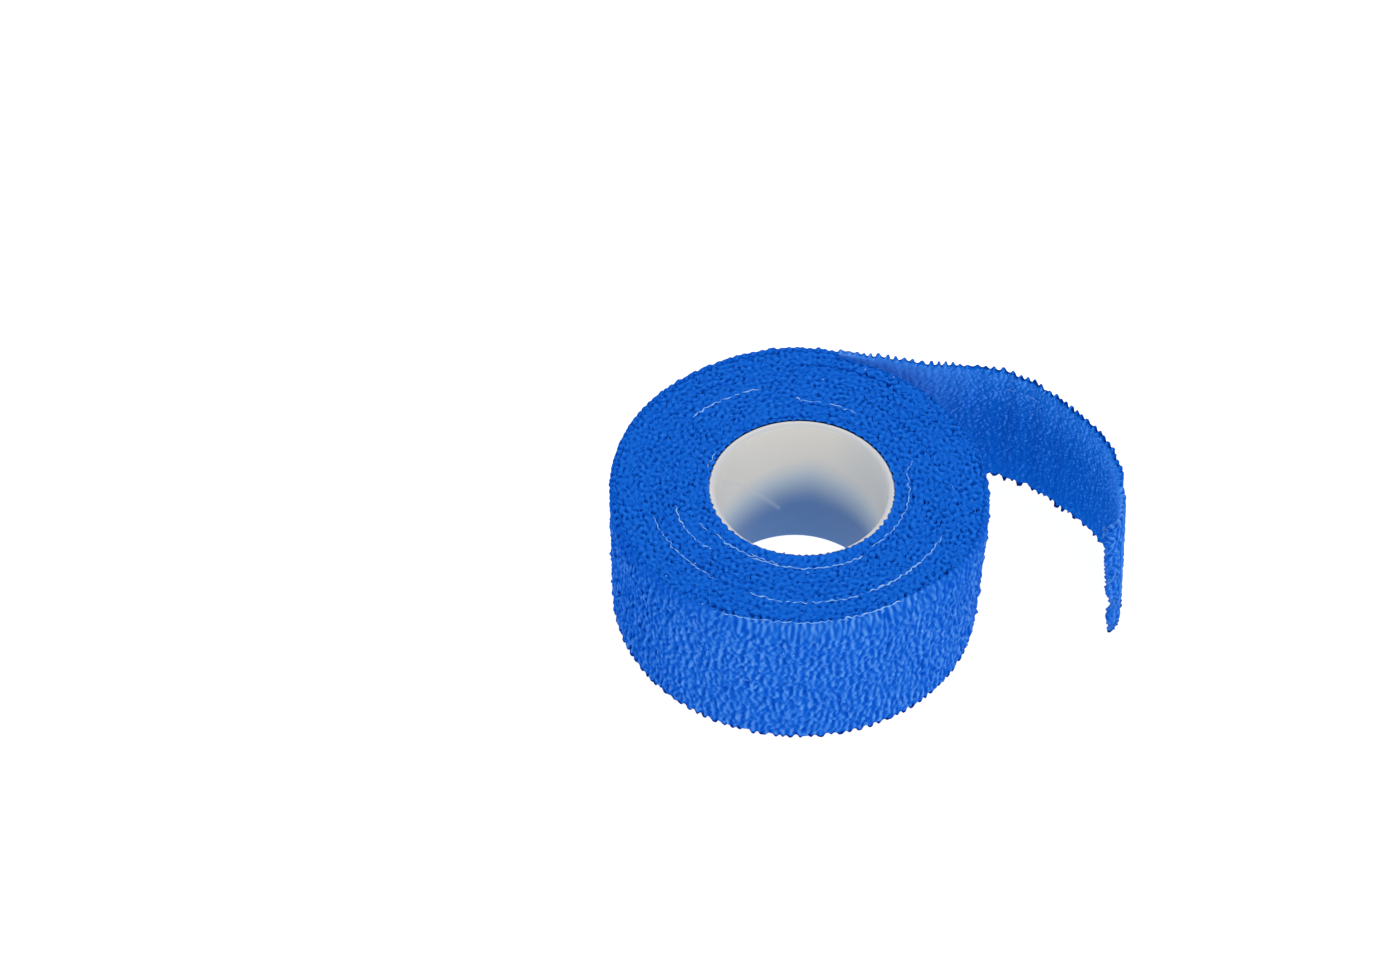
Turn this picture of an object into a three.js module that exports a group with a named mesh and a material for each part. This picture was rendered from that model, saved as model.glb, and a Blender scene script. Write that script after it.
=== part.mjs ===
// Cohesive bandage roll: a crinkled elastic strip wound on a thin tube, standing on one end,
// with its last stretch unrolled, standing on edge and curling round.
// Millimetres, +Z up. The winding axis is vertical, and the origin is at the middle of the
// object's footprint, on the surface it stands on. Seen from above the strip winds clockwise.
import * as THREE from "three";

// Driving dimensions
const BANDAGE_WIDTH = 25; // across the strip, so the height of the roll as it stands
const ROLL_RADIUS = 28.7; // to the crests of the last turn, at its end and the roll's upper edge
const TAPER = 1; // the roll's side leans in by this much at its lower edge
const CORE_RADIUS = 13.8; // outside of the tube
const CORE_WALL = 1.1;
const CORE_LENGTH = 24.8;
const CORE_LIP = 0.35; // rounding of the tube's inner edges
const CORE_SEGMENTS = 96;
const STRIP_THICKNESS = 1; // of the relaxed strip, crinkles left out
const SEAT_GAP = 0.3; // left between pieces that touch

// Crinkles: ribs across the strip, which make toothed edges
const RIBS_ROUND_ROLL = 120;
const RIB_DEPTH = 0.4; // crest to valley, on the side of the roll
const TOOTH_HEIGHT = 0.7; // tip to notch, at the strip's edges
const END_RELIEF = 0.14; // up and down of the turns' edges on the upper end of the roll
const SHOULDER = 0.3; // the roll's outer corners are this much inside its side
const LOOSE_RIB_PITCH = 1.3; // relaxed strip
const LOOSE_RIB_SWING = 0.22; // each side of its middle surface
const RIB_EASE = 9; // the ribs grow from nothing over this length, where the strip is still taut
const SAG = { depth: 0.2, waves: 5 }; // slow rise and fall of the roll's upper edge

// Where the loose end leaves the roll, as an angle from +X seen from above
const LEAVING_ANGLE = 84;
const LAST_TURN_STEP = STRIP_THICKNESS + SEAT_GAP; // the roll is this much smaller past it

// The loose end, from the roll outwards: arcs with the degrees that each turns clockwise at the
// strip's upper and lower edge
const STRETCHES = [
  { name: "lift", length: 17, upperTurn: -9.5, lowerTurn: -17 },
  { name: "shoulder", length: 10.5, upperTurn: 24.5, lowerTurn: 27.5 },
  { name: "bend", length: 32, upperTurn: 68.5, lowerTurn: 73 },
  { name: "curl", length: 5, upperTurn: 80, lowerTurn: 33 },
];
const RIPPLE = { height: 0.3, length: 21 }; // slow unevenness of the loose end
const LOOSE_ROWS = 6; // over its width

const COLUMNS = 2 * RIBS_ROUND_ROLL; // a crest and a valley for each rib
const COLUMN_ANGLE = 360 / COLUMNS;
const HOLLOW_RADIUS = CORE_RADIUS + SEAT_GAP; // of the wound strip, round the tube
const LOOSE_LENGTH = STRETCHES.reduce((sum, stretch) => sum + stretch.length, 0);

const cloth = () => new THREE.MeshStandardMaterial({ color: 0x1262dc, roughness: 0.9, metalness: 0 });
const plastic = () => new THREE.MeshStandardMaterial({ color: 0xdad7d0, roughness: 0.5, metalness: 0 });

const named = (name, geometry, material) => {
  const mesh = new THREE.Mesh(geometry, material);
  mesh.name = name;
  return mesh;
};

// Moves each vertex of a geometry to where the given function puts it
const reshape = (geometry, place) => {
  const position = geometry.getAttribute("position");
  const point = new THREE.Vector3();
  for (let i = 0; i < position.count; i++) {
    place(point.fromBufferAttribute(position, i), i);
    position.setXYZ(i, point.x, point.y, point.z);
  }
  geometry.computeVertexNormals();
  return geometry;
};

// A solid of revolution about Z, from a section of [radius, height] points that closes on itself
const revolve = (section, segments) => {
  const outline = section.map(([radius, height]) => new THREE.Vector2(radius, height));
  return new THREE.LatheGeometry(outline, segments).rotateX(Math.PI / 2);
};

// +1 on a crest and -1 in a valley
const crestOrValley = (column) => (Math.round(column) % 2 === 0 ? 1 : -1);

// Section of the wound strip: rings by their share of the way from the tube to the side, and by
// their share of the height. The lower end is flat where the roll stands on it.
const woundSection = () => {
  const zones = {
    lowerEnd: { outward: [0, 0.33, 0.66, 0.91], up: [0] },
    lowerShoulder: { outward: [1], up: [0] },
    side: { outward: [1], up: [0.065, 0.35, 0.65, 0.935] },
    upperShoulder: { outward: [1], up: [1] },
    upperEnd: { outward: [0.87, 0.68, 0.49, 0.3, 0.11, 0], up: [1] },
  };
  const rings = [];
  for (const [zone, { outward, up }] of Object.entries(zones)) {
    for (const out of outward) {
      for (const high of up) rings.push({ zone, outward: out, up: high });
    }
  }
  return [...rings, rings[0]];
};

// How much smaller the roll's side is at a share of its height than at its upper edge
const taperAt = (up) => TAPER * (1 - up);

// The wound strip: its side grows by one step over the last turn, and its edges are crinkled
const woundStrip = () => {
  const section = woundSection();
  const built = ROLL_RADIUS - HOLLOW_RADIUS;
  const leavingColumn = Math.round(LEAVING_ANGLE / COLUMN_ANGLE);
  const rings = section.map(({ outward, up }) => [HOLLOW_RADIUS + built * outward, BANDAGE_WIDTH * up]);

  return reshape(revolve(rings, COLUMNS), (point, index) => {
    const row = index % section.length;
    const { zone, outward, up } = section[row];
    const angle = Math.atan2(point.y, point.x);
    const column = Math.round(THREE.MathUtils.radToDeg(angle) / COLUMN_ANGLE);
    const rib = crestOrValley(column);

    // Columns counted clockwise from where the loose end leaves, itself the last of its turn
    const clockwise = THREE.MathUtils.euclideanModulo(leavingColumn - column - 1, COLUMNS) + 1;
    const shrink = LAST_TURN_STEP * (1 - clockwise / COLUMNS) * outward;
    const atEdge = outward === 1;
    const valley = atEdge ? (RIB_DEPTH * (1 - rib)) / 2 : 0;
    let radius = HOLLOW_RADIUS + (built - taperAt(up)) * outward - shrink - valley;
    let height = BANDAGE_WIDTH * up;

    if (zone === "lowerShoulder") {
      radius -= SHOULDER;
      height = (TOOTH_HEIGHT * (1 - rib)) / 2 + SEAT_GAP / 2;
    }
    if (zone === "upperShoulder") {
      radius -= SHOULDER;
      height += (TOOTH_HEIGHT * (rib - 1)) / 2 + SAG.depth * Math.sin(SAG.waves * angle);
    }
    if (zone === "upperEnd") height += END_RELIEF * (crestOrValley(column + row) - 1);
    point.set(radius * Math.cos(angle), radius * Math.sin(angle), height);
  });
};

// Thin tube that the strip is wound on, with its inner lips rounded
const coreTube = () => {
  const inner = CORE_RADIUS - CORE_WALL;
  const section = [
    [CORE_RADIUS, 0],
    [CORE_RADIUS, CORE_LENGTH],
    [inner + CORE_LIP, CORE_LENGTH],
    [inner, CORE_LENGTH - CORE_LIP],
    [inner, CORE_LIP],
    [inner + CORE_LIP, 0],
  ];
  return revolve([...section, section[0]], CORE_SEGMENTS);
};

// Where the loose end's middle surface is: along is the distance from the roll, and level runs
// from 0 at the lower edge to 1 at the upper one
const looseMiddle = (along, level) => {
  const rootAngle = THREE.MathUtils.degToRad(LEAVING_ANGLE - 2 * COLUMN_ANGLE);
  const wound = ROLL_RADIUS - taperAt(level) - LAST_TURN_STEP;
  const rootRadius = wound + SEAT_GAP + STRIP_THICKNESS / 2;
  let heading = rootAngle - Math.PI / 2;
  let x = rootRadius * Math.cos(rootAngle);
  let y = rootRadius * Math.sin(rootAngle);
  let left = along;
  for (const { length, upperTurn, lowerTurn } of STRETCHES) {
    if (left <= 0) break;
    const run = Math.min(left, length);
    const fullTurn = THREE.MathUtils.lerp(lowerTurn, upperTurn, level);
    const turn = (THREE.MathUtils.degToRad(fullTurn) * run) / length;
    const chord = (2 * run * Math.sin(turn / 2)) / turn;
    x += chord * Math.cos(heading - turn / 2);
    y += chord * Math.sin(heading - turn / 2);
    heading -= turn;
    left -= run;
  }
  return { x, y, outX: -Math.sin(heading), outY: Math.cos(heading) };
};

// The loose end: a flat strip bent along its path, with its ribs and toothed edges
const looseEnd = () => {
  const columns = 2 * Math.round(LOOSE_LENGTH / LOOSE_RIB_PITCH);
  const strip = new THREE.BoxGeometry(
    LOOSE_LENGTH, BANDAGE_WIDTH, STRIP_THICKNESS, columns, LOOSE_ROWS, 1,
  );
  return reshape(strip, (point) => {
    const along = point.x + LOOSE_LENGTH / 2;
    const row = Math.round((point.y / BANDAGE_WIDTH + 0.5) * LOOSE_ROWS);
    const level = row / LOOSE_ROWS;
    const rib = crestOrValley((along / LOOSE_LENGTH) * columns);
    const grown = THREE.MathUtils.smoothstep(along, 0, RIB_EASE);
    const ripple = RIPPLE.height * Math.sin((2 * Math.PI * along) / RIPPLE.length) * grown;
    const off = -point.z + rib * LOOSE_RIB_SWING * grown + ripple;
    const middle = looseMiddle(along, level);

    let height = level * BANDAGE_WIDTH;
    if (row === LOOSE_ROWS) height += (TOOTH_HEIGHT * (rib - 1)) / 2;
    if (row === 0) height += (TOOTH_HEIGHT * (1 - rib)) / 2;
    point.set(middle.x + off * middle.outX, middle.y + off * middle.outY, height);
  });
};

const bandageRoll = new THREE.Group();
bandageRoll.add(named("core_tube", coreTube(), plastic()));
bandageRoll.add(named("wound_strip", woundStrip(), cloth()));
bandageRoll.add(named("loose_end", looseEnd(), cloth()));

// The origin goes to the middle of the footprint, at the height of the surface
const box = new THREE.Box3().setFromObject(bandageRoll);
const middle = box.getCenter(new THREE.Vector3());
bandageRoll.position.set(-middle.x, -middle.y, -box.min.z);

export default bandageRoll;
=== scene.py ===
# Cohesive bandage roll: the looks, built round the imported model. Lengths are in millimetres until a
# mesh is made, in a frame with its origin on the roll's axis at floor level. Seen from above the
# strip winds clockwise.
import math

import bpy
import numpy as np
from mathutils import Matrix, Vector


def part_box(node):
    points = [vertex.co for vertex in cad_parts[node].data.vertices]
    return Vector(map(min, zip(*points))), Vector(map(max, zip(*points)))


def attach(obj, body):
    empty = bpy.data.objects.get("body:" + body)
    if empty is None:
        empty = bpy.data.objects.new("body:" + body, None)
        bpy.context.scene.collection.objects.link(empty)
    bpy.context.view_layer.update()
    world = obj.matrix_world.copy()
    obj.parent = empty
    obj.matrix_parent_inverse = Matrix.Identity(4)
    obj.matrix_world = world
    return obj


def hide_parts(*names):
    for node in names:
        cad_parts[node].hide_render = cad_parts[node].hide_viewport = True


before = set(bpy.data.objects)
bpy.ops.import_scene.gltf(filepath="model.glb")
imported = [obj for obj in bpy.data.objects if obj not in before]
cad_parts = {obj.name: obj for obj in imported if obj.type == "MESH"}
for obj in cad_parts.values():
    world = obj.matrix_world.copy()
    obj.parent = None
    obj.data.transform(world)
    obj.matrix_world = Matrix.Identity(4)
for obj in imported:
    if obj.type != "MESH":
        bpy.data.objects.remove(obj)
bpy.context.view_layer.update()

MM = 0.001
TAU = 2 * math.pi
SEED = 25

# Sizes of the roll, as in the model
WIDTH = 25  # across the strip
ROLL_RADIUS = 28.7  # to the crests, where the last turn ends
TAPER = 1  # the roll's side leans in by this much at its lower edge
CORE_RADIUS = 13.8
CORE_WALL = 1.1
CORE_INSIDE = CORE_RADIUS - CORE_WALL
CORE_LENGTH = 24.8
SEAT_GAP = 0.3
LAST_TURN_STEP = 1.3
STRIP_THICKNESS = 1  # relaxed, crinkles left out
ROOT_ANGLE = math.radians(81)  # where the loose end begins
SAG = {"depth": 0.2, "waves": 5}
RIPPLE = {"height": 0.3, "length": 21}

# The loose end, from the roll outwards: length, and degrees turned clockwise at the upper and the
# lower edge
STRETCHES = [
    (17, -9.5, -17),
    (10.5, 24.5, 27.5),
    (32, 68.5, 73),
    (5, 80, 33),
]
LOOSE_LENGTH = sum(length for length, upper_turn, lower_turn in STRETCHES)

# Winding
TURNS = 17.5
END_TURN = TURNS * TAU
LAST_TURN = END_TURN - TAU  # where the last turn begins
HOLLOW = CORE_RADIUS + SEAT_GAP
LAST_START = ROLL_RADIUS - LAST_TURN_STEP

# Crepe of the strip: upright ribs that cells break up, and short crinkles between them
RIBS = {"period": 1.21, "spread": 0.3, "tall": 5}
CRINKLES = {"period": 1.21, "spread": 0.4, "tall": 1.5}
CELLS = {"width": 1.4, "height": 1.9, "spread": 0.4}
CREPE = {"share": 0.6, "middle": 0.53, "swing": 0.44, "sharpness": 0.9}
RIB_DEPTH = 0.23
COLUMN_STEP = 0.206
ROWS = 104
STEPS = (COLUMN_STEP, WIDTH / ROWS)
LEVELS = np.linspace(0, 1, ROWS + 1)[None, :]  # of the rows, from the lower to the upper edge

# Teeth of the strip's edges: how far apart, how evenly, and the share of the width that they hold
TEETH = {
    "upper": {"pitch": 1.2, "spread": 0.2, "held": (0.006, 0.018)},
    "lower": {"pitch": 1.6, "spread": 0.42, "held": (0.006, 0.035)},
}
TEETH_WANE = {"share": 0.3, "pitch": 9}  # slow change of their size
TOOTH_SHARPNESS = 1.1
EDGE_BAND = 0.06  # share of the width in which the teeth form
TIP_BAND = 0.036  # share of the width in which their tips are dark
DARKEST = 0.3  # share of that band in which they are darkest

# Towards the front the last turn's upper edge is drawn in over the turns under it
DRAWN = {"inward": 1.7, "angle": -74, "whole": 18, "none": 54, "from": 0.87}

FINE_STEPS = 40000  # for measuring along the spiral
USUAL_SPREAD = 0.35  # of a noise's pitch, where none is given

rng = np.random.default_rng(SEED)
low_corner, high_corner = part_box("core_tube")
AXIS = (low_corner + high_corner) / 2


def smoothstep(value, low, high):
    share = np.clip((value - low) / (high - low), 0, 1)
    return share * share * (3 - 2 * share)


def smoothstep_inverse(share):
    return 0.5 - np.sin(np.arcsin(1 - 2 * np.clip(share, 0, 1)) / 3)


def bell(value):
    return np.exp(-0.5 * value**2)


def shaped_noise(shape, steps, weigh):
    """Even noise with a standard deviation of 1, whose waves along and across the strip are kept
    by what their frequencies weigh"""
    white = rng.standard_normal(shape)
    along = np.abs(np.fft.fftfreq(shape[0], steps[0]))[:, None]
    across = np.abs(np.fft.fftfreq(shape[1], steps[1]))[None, :]
    noise = np.fft.ifft2(np.fft.fft2(white) * weigh(along, across)).real
    return noise / noise.std()


def beat(frequency, period, spread):
    """1 for waves of the given period, and less for all others"""
    return bell((frequency * period - 1) / spread)


def band_noise(shape, steps, period, spread, tall):
    """Waves about a period apart along the strip, each about as tall as given across it"""

    def weigh(along, across):
        return beat(along, period, spread) * bell(across * tall)

    return shaped_noise(shape, steps, weigh)


def line_noise(count, step, wave):
    """Noise along the strip, with a wave's pitch and spread"""
    spread = wave.get("spread", USUAL_SPREAD)
    return band_noise((count, 1), (step, 1), wave["pitch"], spread, 1)[:, 0]


# Grain of the roll's ends, drawn out a little from front to back
GRAIN = {"cell": 0.18, "reach": 30, "period": 0.93, "spread": 0.3, "stretch": 1.2}


def grain_field():
    count = round(2 * GRAIN["reach"] / GRAIN["cell"])

    def weigh(x, y):
        return beat(np.hypot(x, y), GRAIN["period"], GRAIN["spread"])

    return shaped_noise((count, count), (GRAIN["cell"], GRAIN["cell"]), weigh)


def grain_at(field, radius, angle):
    """The grain at places on the roll's end, between the points of its field"""
    limit = field.shape[0] - 1.001  # just inside the last cell
    x = radius * np.cos(angle) + GRAIN["reach"]
    y = radius * np.sin(angle) / GRAIN["stretch"] + GRAIN["reach"]
    x = np.clip(x / GRAIN["cell"], 0, limit)
    y = np.clip(y / GRAIN["cell"], 0, limit)
    column = x.astype(int)
    row = y.astype(int)
    across = x - column
    up = y - row
    near = field[column, row] * (1 - across) + field[column + 1, row] * across
    far = field[column, row + 1] * (1 - across) + field[column + 1, row + 1] * across
    return near * (1 - up) + far * up


def edge_radius(turned):
    """Outside of the strip at the roll's upper edge, after it has turned this far round the core"""
    wound = HOLLOW + (LAST_START - HOLLOW) * turned / LAST_TURN
    last = LAST_START + LAST_TURN_STEP * (turned - LAST_TURN) / TAU
    return np.where(turned < LAST_TURN, wound, last)


def even_columns(start, end, step):
    """Turned angles from start to end, about a step apart along the strip"""
    fine = np.linspace(start, end, FINE_STEPS)
    travel = np.concatenate([[0], np.cumsum(edge_radius(fine[1:]) * np.diff(fine))])
    count = round(travel[-1] / step)
    return np.interp(np.linspace(0, travel[-1], count + 1), travel, fine)


def world_angle(turned):
    return ROOT_ANGLE + END_TURN - turned


def angle_from(angle, centre_degrees):
    """How far an angle is from a centre, in radians and without a sign"""
    return np.abs((angle - math.radians(centre_degrees) + math.pi) % TAU - math.pi)


def drawn_in(angle):
    """How far the last turn's upper edge is drawn in"""
    away = angle_from(angle, DRAWN["angle"])
    faded = smoothstep(away, math.radians(DRAWN["whole"]), math.radians(DRAWN["none"]))
    return DRAWN["inward"] * (1 - faded)


def drawn_at(height, angle):
    return drawn_in(angle) * smoothstep(height / WIDTH, DRAWN["from"], 1) ** 2


def outward(radius):
    """Share of the way from the tube to the roll's side"""
    return (radius - CORE_RADIUS) / (ROLL_RADIUS - CORE_RADIUS)


def tapered(radius, height):
    """The radius that a place on the roll has once the side leans in"""
    return radius - TAPER * (1 - height / WIDTH) * np.clip(outward(radius), 0, None)


def sag_at(radius, angle):
    share = np.clip(outward(radius), 0, 1)
    return SAG["depth"] * np.sin(SAG["waves"] * angle) * share**2


def on_roll(radius, angle, height):
    lean = tapered(radius, height)
    return np.stack([lean * np.cos(angle), lean * np.sin(angle), height], axis=-1)


def loose_middle(along, level):
    """Place and outward direction of the loose end's middle surface"""
    root = LAST_START - TAPER * (1 - level) + SEAT_GAP + STRIP_THICKNESS / 2
    heading = np.full(np.broadcast(along, level).shape, ROOT_ANGLE - math.pi / 2)
    x = root * math.cos(ROOT_ANGLE) + 0 * heading
    y = root * math.sin(ROOT_ANGLE) + 0 * heading
    left = along + 0 * heading
    for length, upper_turn, lower_turn in STRETCHES:
        run = np.clip(left, 0, length)
        full_turn = lower_turn + (upper_turn - lower_turn) * level
        turn = np.radians(full_turn) * run / length
        chord = run * np.sinc(turn / TAU)
        x = x + chord * np.cos(heading - turn / 2)
        y = y + chord * np.sin(heading - turn / 2)
        heading = heading - turn
        left = left - length
    return x, y, -np.sin(heading), np.cos(heading)


def new_object(name, data):
    thing = bpy.data.objects.new(name, data)
    bpy.context.scene.collection.objects.link(thing)
    return thing


def make_piece(name, points, faces, materials, attributes=None, node=None, kinds=None):
    """A smooth mesh on the CAD body, from points in millimetres about the roll's axis. The kinds
    say which of its materials each face has."""
    mesh = bpy.data.meshes.new(name)
    placed = points.reshape(-1, 3) * MM + np.array([AXIS.x, AXIS.y, 0])
    mesh.from_pydata(placed.tolist(), [], faces)
    for key, values in (attributes or {}).items():
        layer = mesh.attributes.new(key, "FLOAT", "POINT")
        layer.data.foreach_set("value", np.asarray(values, np.float32).reshape(-1))
    for material in materials:
        mesh.materials.append(material)
    if kinds is not None:
        mesh.polygons.foreach_set("material_index", np.asarray(kinds, np.int32))
    mesh.polygons.foreach_set("use_smooth", np.ones(len(mesh.polygons), bool))
    mesh.update()
    piece = new_object(name, mesh)
    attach(piece, "root")
    if node:
        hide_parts(node)
    return piece


def loop_faces(columns, around, capped=True):
    """Quads that join closed sections of the same number of points, and the two end caps"""
    start = np.arange(columns - 1)[:, None] * around
    here = np.arange(around)[None, :]
    there = (here + 1) % around
    quads = np.stack([start + here, start + there, start + around + there, start + around + here], -1)
    faces = quads.reshape(-1, 4).tolist()
    if capped:
        last = (columns - 1) * around
        faces.append(list(range(around))[::-1])
        faces.append([last + index for index in range(around)])
    return faces


# The turns under the last one
TURN_STEP = 0.22
ACROSS = {"upper": [0, 0.16, 0.38, 0.62, 0.84, 1], "lower": [0, 0.5, 1]}  # rows over their edges
SWAY = {"depth": 0.19, "pitch": 1.35, "spread": 0.5, "grows_over": 0.3}  # of their surfaces
GAPS = {"least": 0.006, "more": 0.3, "pitch": 1.6, "spread": 0.6, "opens_at": 0.7, "range": 1.5}
LEAST_THICKNESS = 0.16
SKIRT = {"upper": WIDTH - 3.5, "lower": 1.6}  # how far in from the ends their surfaces go

# Where the last turn is drawn in, a turn may press into it this far, and stays this far below it
PRESSED_IN = 0.35
KEPT_BELOW = 0.2
LEAST_DRAWN = 0.01

# The innermost turn's upper edge leans over the tube's rim, and its face goes down behind it
RIM_LEAN = {"all_round": 0.36, "front": 0.82, "scallop": 0.11, "pitch": 1.25, "ends_over": 0.05}
RIM_CLEAR = {"height": 24.9, "rise": 0.2}
COLLAR = {"below_width": 0.45, "below_edge": 0.25}

# Unevenness over the turns' edges: how far it dips or rises, and how dark or pale it makes them. The
# pits and the open gaps between the turns are painted darker, as painted shade in these hollows.
COMMON = {"pitch": 1.2, "spread": 0.5}  # the same all over an edge
OWN = {"pitch": 0.85, "spread": 0.5}  # of each row
SLOW = {"pitch": 40, "spread": 0.4}
DIP = {"all": 0.1, "pit": 0.16, "grain": 0.02, "common": 0.02, "own": 0.02}
RIM_DIP = {"all": 0.02, "gap": 0.22}
DIP_LIMITS = (-0.08, 0.8)
SLOW_DIP = 0.07
FOOT = 0.02  # the lower end's height over the floor
SHADE = {"all": 0.6, "pit": 0.3, "grain": 0.12, "fleck": 0.15, "gap": 0.25}
PITS = (0.35, 1.9)  # the grain's levels between which pits deepen
FLECKS = (0.9, 2.2)  # and, on its other side, flecks brighten


def turn_borders(turned, step):
    """Inner and outer radius of each turn at one of the strip's edges, and how open the gap is"""
    count = len(turned)
    wave = SWAY["depth"] * line_noise(count, step, SWAY)
    outer = edge_radius(turned) + wave * smoothstep(turned, 0, SWAY["grows_over"])
    opening = line_noise(count, step, GAPS) - GAPS["opens_at"]
    open_gap = np.clip(opening, 0, GAPS["range"]) / GAPS["range"]
    gap = GAPS["least"] + GAPS["more"] * open_gap
    inner = np.full(count, HOLLOW)
    for turn in range(1, math.ceil(TURNS)):
        here = (turned >= turn * TAU) & (turned < (turn + 1) * TAU)
        before = turned < turn * TAU
        inner[here] = np.interp(turned[here] - TAU, turned[before], outer[before]) + gap[here]
        outer[here] = np.maximum(outer[here], inner[here] + LEAST_THICKNESS)
    first = turned < TAU
    outer[first] = np.maximum(outer[first], HOLLOW + LEAST_THICKNESS)
    return inner, outer, open_gap


def room_under_last(turned, angle):
    """Height that the last turn, where it is drawn in, leaves over the turns under it"""
    beneath = turned + TAU * np.floor((LAST_TURN - turned) / TAU)
    under = edge_radius(beneath) - edge_radius(turned)
    share = (under + PRESSED_IN) / np.maximum(drawn_in(angle), LEAST_DRAWN)
    reached = smoothstep_inverse(np.sqrt(np.clip(share, 0, 1)))
    ceiling = WIDTH * (DRAWN["from"] + (1 - DRAWN["from"]) * reached) - KEPT_BELOW
    return np.where(share < 1, ceiling, 2 * WIDTH)


def in_order(edge, rows, relief):
    """An edge's rows of points and relief, in their order round the strip's section"""
    order = 1 if edge == "upper" else -1
    return np.stack(rows[::order], axis=1), np.stack(relief[::order], axis=1)


def wound_edge(edge, turned, first, lean, grain):
    """Rows of points and relief over one edge of the wound turns, and how far out each turn goes"""
    count = len(turned)
    angle = world_angle(turned)
    ceiling = room_under_last(turned, angle)
    inner, outer, open_gap = turn_borders(turned, TURN_STEP)
    common = line_noise(count, TURN_STEP, COMMON)
    slow = line_noise(count, TURN_STEP, SLOW)
    rows = []
    relief = []
    for share in ACROSS[edge]:
        radius = inner - lean * (1 - share) + share * (outer - inner)
        rim = abs(2 * share - 1) ** 3
        own = line_noise(count, TURN_STEP, OWN)
        grained = grain_at(grain, radius, angle)
        pit = smoothstep(grained, *PITS)
        fleck = smoothstep(-grained, *FLECKS)
        dip = DIP["all"] + DIP["pit"] * pit + DIP["grain"] * grained
        dip = dip + DIP["common"] * common + DIP["own"] * own
        dip += rim * (RIM_DIP["all"] + RIM_DIP["gap"] * open_gap)
        dip = np.clip(dip, *DIP_LIMITS) - SLOW_DIP * slow
        if edge == "upper":
            height = np.minimum(WIDTH + sag_at(radius, angle), ceiling) - dip
            clear = RIM_CLEAR["height"] + RIM_CLEAR["rise"] * share
            over_rim = (first > 0.5) & (share < 0.5)
            height = np.where(over_rim, np.maximum(height, clear), height)
        else:
            height = np.clip(dip, 0, 1) + FOOT
        rows.append(on_roll(radius, angle, height))
        # Painted shade in the pits and the open gaps
        shade = SHADE["all"] - SHADE["pit"] * pit - SHADE["grain"] * grained
        relief.append(shade + SHADE["fleck"] * fleck - SHADE["gap"] * rim * open_gap)
    # The faces that go down between the turns get the darkest colour, as painted shade
    skirt = np.full(count, SKIRT[edge])
    hidden = np.zeros(count)
    if edge == "upper":
        collar = np.minimum(WIDTH - COLLAR["below_width"], rows[0][:, 2] - COLLAR["below_edge"])
        rows = [on_roll(inner, angle, collar), *rows]
        relief = [hidden, *relief]
    rows = [on_roll(inner, angle, skirt), *rows, on_roll(outer, angle, skirt)]
    relief = [hidden, *relief, hidden]
    return *in_order(edge, rows, relief), outer


def wound_turns(material, grain):
    """All turns but the last, as one closed strip that is split in two pieces. It returns how far
    out each turn goes at the strip's edges."""
    turned = even_columns(0, LAST_TURN, TURN_STEP)
    count = len(turned)
    first = smoothstep(turned, TAU + RIM_LEAN["ends_over"], TAU)
    toward_front = 0.5 - 0.5 * np.sin(world_angle(turned))
    scallop = RIM_LEAN["scallop"] * line_noise(count, TURN_STEP, RIM_LEAN)
    rim_lean = first * (RIM_LEAN["all_round"] + RIM_LEAN["front"] * toward_front**4 + scallop)
    sections = []
    reliefs = []
    borders = {}
    for edge, lean in (("upper", rim_lean), ("lower", np.zeros(count))):
        rows, relief, outer = wound_edge(edge, turned, first, lean, grain)
        sections.append(rows)
        reliefs.append(relief)
        borders[edge] = (turned, outer)
    points = np.concatenate(sections, axis=1)
    relief = np.concatenate(reliefs, axis=1)
    half = count // 2
    for name, here in (("inner_turns", slice(0, half + 1)), ("outer_turns", slice(half, count))):
        part = points[here]
        faces = loop_faces(len(part), points.shape[1])
        shade = {"relief": relief[here]}
        make_piece(name, part, faces, [material], shade, "wound_strip")
    return borders


def away_from(edge):
    """Each row's distance from an edge, as a share of the width"""
    return 1 - LEVELS if edge == "upper" else LEVELS


# The crepe of the last turn and the loose end, as one field
def crepe_field(columns):
    """Height of the crepe from 0 in a valley to 1 on a crest, by column along the strip and row
    across it, and the swing of its upper and lower edge from -1 to 1"""
    shape = (columns, ROWS + 1)

    def weigh_cells(along, across):
        return bell(along * CELLS["width"]) * beat(across, CELLS["height"], CELLS["spread"])

    ribs = band_noise(shape, STEPS, **RIBS)
    crinkles = band_noise(shape, STEPS, **CRINKLES)
    cells = shaped_noise(shape, STEPS, weigh_cells)
    share = CREPE["share"]
    mixed = ribs * (share + share * cells) + share * crinkles
    mixed /= mixed.std()
    edges = {}
    for edge, teeth in TEETH.items():
        swing = line_noise(columns, COLUMN_STEP, teeth)
        swing *= 1 + TEETH_WANE["share"] * line_noise(columns, COLUMN_STEP, TEETH_WANE)
        held = 1 - smoothstep(away_from(edge), *teeth["held"])
        mixed = mixed * (1 - held) + TOOTH_SHARPNESS * swing[:, None] * held
        edges[edge] = np.tanh(TOOTH_SHARPNESS * swing)
    return CREPE["middle"] + CREPE["swing"] * np.tanh(CREPE["sharpness"] * mixed), edges


def edge_fade(level, band=EDGE_BAND):
    """1 at the lower edge and 0 above the band in which teeth form"""
    return np.clip(1 - level / band, 0, 1) ** 2


def tip_shade(level, band=TIP_BAND):
    """1 at the strip's very edge and 0 beyond the band, for the dark tips of its teeth"""
    return 1 - smoothstep(level, DARKEST * band, band)


def tip_share(swing, sharpness=1):
    """Share from 0 in a notch to 1 at the tip of a tooth"""
    return (0.5 + 0.5 * swing) ** sharpness


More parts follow.
